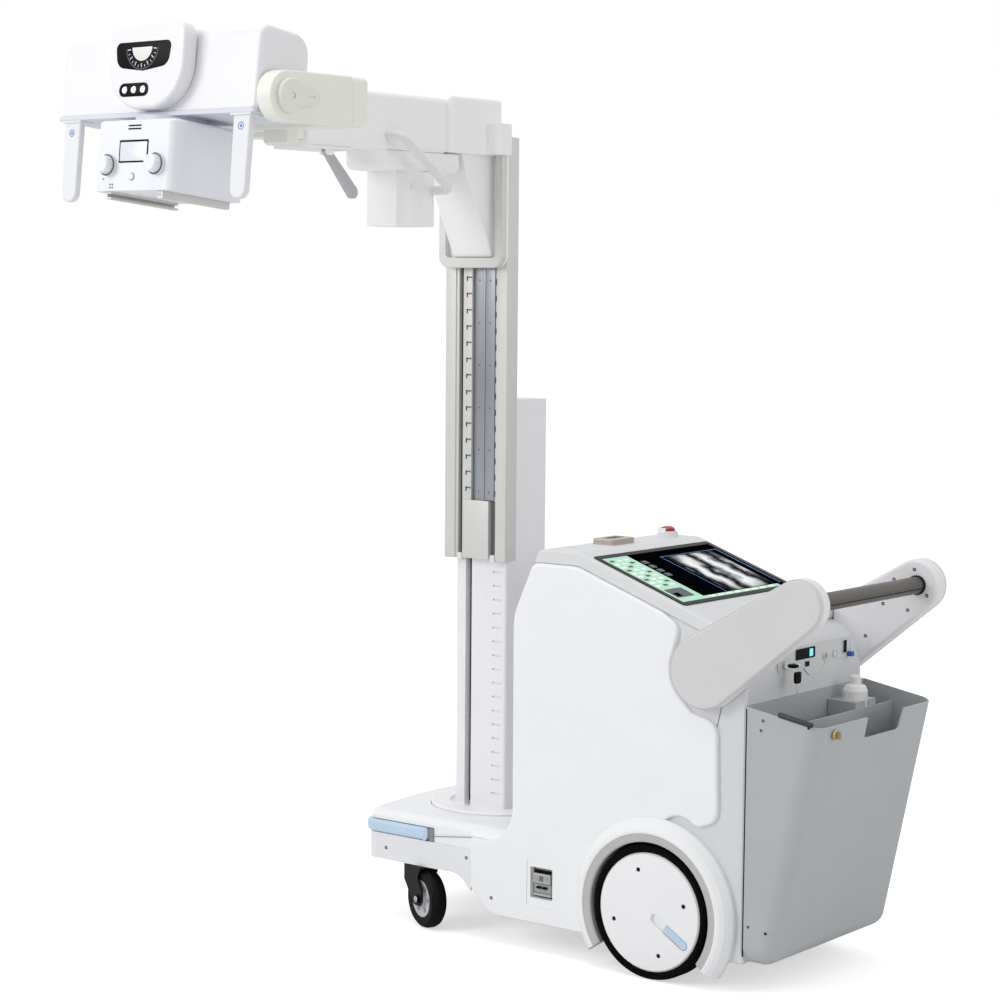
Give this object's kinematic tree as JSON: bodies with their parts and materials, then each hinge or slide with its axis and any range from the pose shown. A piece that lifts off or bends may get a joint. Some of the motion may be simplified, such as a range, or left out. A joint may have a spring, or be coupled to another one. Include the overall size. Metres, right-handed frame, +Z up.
{
  "type": "mobile x-ray machine",
  "caption": "Battery-driven mobile x-ray machine: wheeled cabinet with touch screen and push handle, turning telescopic column, sliding arm and tilting tube head with collimator.",
  "frame": {"origin": "on the floor, on the mid-plane of the cabinet, straight under the drive axle", "axes": "+X to the rear, where the push handle is; -X to the front, where the casters are; -Y to the near side, over which the arm reaches at rest; +Z up"},
  "size_m": [1.4458, 1.6285, 2.2026],
  "materials": {
    "frame_steel": "satin",
    "cabinet_paint": "satin",
    "cover_white": "satin",
    "deck_grey": "satin",
    "bin_grey": "satin",
    "pale_blue": "satin",
    "tyre_black": "matte",
    "wheel_white": "satin",
    "caster_silver": "satin",
    "fork_black": "satin",
    "black_plastic": "satin",
    "screen_glass": "gloss",
    "polished_metal": "polished",
    "panel_light": "satin",
    "bar_grey": "satin",
    "column_grey": "satin",
    "rail_metal": "satin",
    "bezel_beige": "satin",
    "arm_white": "satin",
    "arm_beige": "satin",
    "head_white": "satin",
    "head_blue_grey": "satin",
    "collimator_grey": "satin",
    "button_silver": "satin",
    "stop_red": "gloss",
    "lock_brass": "satin",
    "bottle_white": "satin",
    "breaker_grey": "matte",
    "power_pack": "matte",
    "rail_dark": "matte"
  },
  "bodies": {
    "cabinet": {"chassis": "frame_steel", "power_unit": "power_pack", "foot_skirt": "cover_white", "foot_hood": "cover_white", "body_shell": "cabinet_paint", "side_cover_near": "cover_white", "side_cover_far": "cover_white", "wheel_arches": "cover_white", "deck_cover": "deck_grey", "screen_bezel": "black_plastic", "screen_glass": "screen_glass", "deck_dock": "polished_metal", "rear_panel": "panel_light", "breaker": "breaker_grey", "handle_arms": "deck_grey", "push_bar": "bar_grey", "bin_shell": "bin_grey", "bin_divider": "bin_grey", "caster_plates": "frame_steel"},
    "disinfectant_bottle": {"bottle": "bottle_white"},
    "bumper": {"front_bumper": "pale_blue"},
    "emergency_stop": {"stop_button": "stop_red"},
    "breaker_switch": {"breaker_toggles": "black_plastic"},
    "ignition_key": {"key_set": "polished_metal"},
    "bin_latch": {"bin_lock": "lock_brass"},
    "column": {"turntable": "wheel_white", "mast": "column_grey"},
    "upper_stage": {"stage_channel": "column_grey", "stage_rails": "rail_metal"},
    "arm_carriage": {"carriage": "column_grey", "carriage_bezel": "bezel_beige", "arm_housing": "arm_white", "grab_handle": "polished_metal"},
    "brake_lever": {"arm_lever": "black_plastic"},
    "sliding_arm": {"inner_arm": "arm_beige"},
    "yoke_frame": {"yoke": "arm_beige"},
    "tilt_lock": {"lock_knob": "black_plastic"},
    "tube_head": {"head_tray": "head_blue_grey", "head_cover": "head_white", "head_pod": "head_white", "head_handles": "bezel_beige", "tube_insert": "power_pack"},
    "pod_button_left": {"head_button_left": "button_silver"},
    "pod_button_middle": {"head_button_middle": "button_silver"},
    "pod_button_right": {"head_button_right": "button_silver"},
    "collimator_box": {"collimator": "collimator_grey", "collimator_rails": "rail_dark"},
    "field_knob_left": {"collimator_knob_left": "black_plastic"},
    "field_knob_right": {"collimator_knob_right": "black_plastic"},
    "lamp_button": {"collimator_button": "black_plastic"},
    "drive_wheel_near": {"drive_tyre_near": "tyre_black", "wheel_disc_near": "wheel_white"},
    "clutch_near": {"clutch_lever_near": "pale_blue"},
    "caster_swivel_near": {"caster_fork_near": "fork_black"},
    "caster_roller_near": {"caster_wheel_near": "caster_silver"},
    "drive_wheel_far": {"drive_tyre_far": "tyre_black", "wheel_disc_far": "wheel_white"},
    "clutch_far": {"clutch_lever_far": "pale_blue"},
    "caster_swivel_far": {"caster_fork_far": "fork_black"},
    "caster_roller_far": {"caster_wheel_far": "caster_silver"}
  },
  "joints": [
    {"name": "bottle_lift", "type": "slide", "parent": "cabinet", "child": "disinfectant_bottle", "axis": [0, 0, 1], "range_m": [0, 0.06]},
    {"name": "bumper_press", "type": "slide", "parent": "cabinet", "child": "bumper", "axis": [1, 0, 0], "range_m": [0, 0.01], "stiffness_N_per_m": 3000, "springref_m": -0.004},
    {"name": "stop_press", "type": "slide", "parent": "cabinet", "child": "emergency_stop", "axis": [0, 0, -1], "range_m": [0, 0.004], "stiffness_N_per_m": 800, "springref_m": -0.003},
    {"name": "breaker_flip", "type": "hinge", "parent": "cabinet", "child": "breaker_switch", "pos_m": [-0.3355, -0.2575, 0.1652], "axis": [1, 0, 0], "range_deg": [-30, 30]},
    {"name": "key_turn", "type": "hinge", "parent": "cabinet", "child": "ignition_key", "pos_m": [0.249, -0.104, 0.76], "axis": [1, 0, 0], "range_deg": [0, 90]},
    {"name": "bin_lock_turn", "type": "hinge", "parent": "cabinet", "child": "bin_latch", "pos_m": [0.4438, -0.2, 0.63], "axis": [1, 0, 0], "range_deg": [0, 90]},
    {"name": "column_turn", "type": "hinge", "parent": "cabinet", "child": "column", "pos_m": [-0.68, 0, 0.29], "axis": [0, 0, 1], "range_deg": [-180, 180]},
    {"name": "stage_lift", "type": "slide", "parent": "column", "child": "upper_stage", "axis": [0, 0, 1], "range_m": [-0.6, 0]},
    {"name": "carriage_lift", "type": "slide", "parent": "upper_stage", "child": "arm_carriage", "axis": [0, 0, 1], "range_m": [-0.6, 0]},
    {"name": "lever_squeeze", "type": "hinge", "parent": "arm_carriage", "child": "brake_lever", "pos_m": [-0.644, -0.72, 1.951], "axis": [1, 0, 0], "range_deg": [0, 12], "stiffness_Nm_per_rad": 2, "springref_deg": -17.19},
    {"name": "arm_extend", "type": "slide", "parent": "arm_carriage", "child": "sliding_arm", "axis": [0, -1, 0], "range_m": [-0.1, 0.2]},
    {"name": "yoke_roll", "type": "hinge", "parent": "sliding_arm", "child": "yoke_frame", "pos_m": [-0.68, -0.935, 2.03], "axis": [0, 1, 0], "range_deg": [-90, 90]},
    {"name": "tilt_lock_turn", "type": "hinge", "parent": "yoke_frame", "child": "tilt_lock", "pos_m": [-0.33, -1.187, 2.038], "axis": [1, 0, 0], "range_deg": [0, 90]},
    {"name": "head_tilt", "type": "hinge", "parent": "yoke_frame", "child": "tube_head", "pos_m": [-0.376, -1.187, 2.038], "axis": [1, 0, 0], "range_deg": [-84.5, 20]},
    {"name": "collimator_turn", "type": "hinge", "parent": "tube_head", "child": "collimator_box", "pos_m": [-0.68, -1.18222, 1.98329], "axis": [0, 0.0958, 0.9954], "range_deg": [-45, 45]},
    {"name": "lamp_press", "type": "slide", "parent": "collimator_box", "child": "lamp_button", "axis": [0, 0.9954, -0.0958], "range_m": [0, 0.0015], "stiffness_N_per_m": 400, "springref_m": -0.002},
    {"name": "field_knob_left_turn", "type": "hinge", "parent": "collimator_box", "child": "field_knob_left", "pos_m": [-0.754, -1.30409, 1.89657], "axis": [0, -0.9954, 0.0958], "range_deg": [-140, 140]},
    {"name": "field_knob_right_turn", "type": "hinge", "parent": "collimator_box", "child": "field_knob_right", "pos_m": [-0.606, -1.30409, 1.89657], "axis": [0, -0.9954, 0.0958], "range_deg": [-140, 140]},
    {"name": "pod_left_press", "type": "slide", "parent": "tube_head", "child": "pod_button_left", "axis": [0, 0.9954, -0.0958], "range_m": [0, 0.0015], "stiffness_N_per_m": 400, "springref_m": -0.002},
    {"name": "pod_middle_press", "type": "slide", "parent": "tube_head", "child": "pod_button_middle", "axis": [0, 0.9954, -0.0958], "range_m": [0, 0.0015], "stiffness_N_per_m": 400, "springref_m": -0.002},
    {"name": "pod_right_press", "type": "slide", "parent": "tube_head", "child": "pod_button_right", "axis": [0, 0.9954, -0.0958], "range_m": [0, 0.0015], "stiffness_N_per_m": 400, "springref_m": -0.002},
    {"name": "drive_roll_near", "type": "hinge", "parent": "cabinet", "child": "drive_wheel_near", "pos_m": [0, -0.262, 0.163], "axis": [0, 1, 0], "continuous": true},
    {"name": "clutch_flip_near", "type": "hinge", "parent": "drive_wheel_near", "child": "clutch_near", "pos_m": [0.04892, -0.2892, 0.13184], "axis": [-0.5373, 0, -0.8434], "range_deg": [0, 90]},
    {"name": "caster_swivel_near_turn", "type": "hinge", "parent": "cabinet", "child": "caster_swivel_near", "pos_m": [-0.744, -0.239, 0.16], "axis": [0, 0, 1], "continuous": true},
    {"name": "caster_roll_near", "type": "hinge", "parent": "caster_swivel_near", "child": "caster_roller_near", "pos_m": [-0.71618, -0.25024, 0.076], "axis": [0.3746, 0.9272, 0], "continuous": true},
    {"name": "drive_roll_far", "type": "hinge", "parent": "cabinet", "child": "drive_wheel_far", "pos_m": [0, 0.262, 0.163], "axis": [0, 1, 0], "continuous": true},
    {"name": "clutch_flip_far", "type": "hinge", "parent": "drive_wheel_far", "child": "clutch_far", "pos_m": [0.04892, 0.2892, 0.13184], "axis": [0.5373, 0, 0.8434], "range_deg": [0, 90]},
    {"name": "caster_swivel_far_turn", "type": "hinge", "parent": "cabinet", "child": "caster_swivel_far", "pos_m": [-0.744, 0.239, 0.16], "axis": [0, 0, 1], "continuous": true},
    {"name": "caster_roll_far", "type": "hinge", "parent": "caster_swivel_far", "child": "caster_roller_far", "pos_m": [-0.71618, 0.25024, 0.076], "axis": [-0.3746, 0.9272, 0], "continuous": true}
  ],
  "couplings": [
    {"joint": "carriage_lift", "follows": "stage_lift", "ratio": 1}
  ]
}
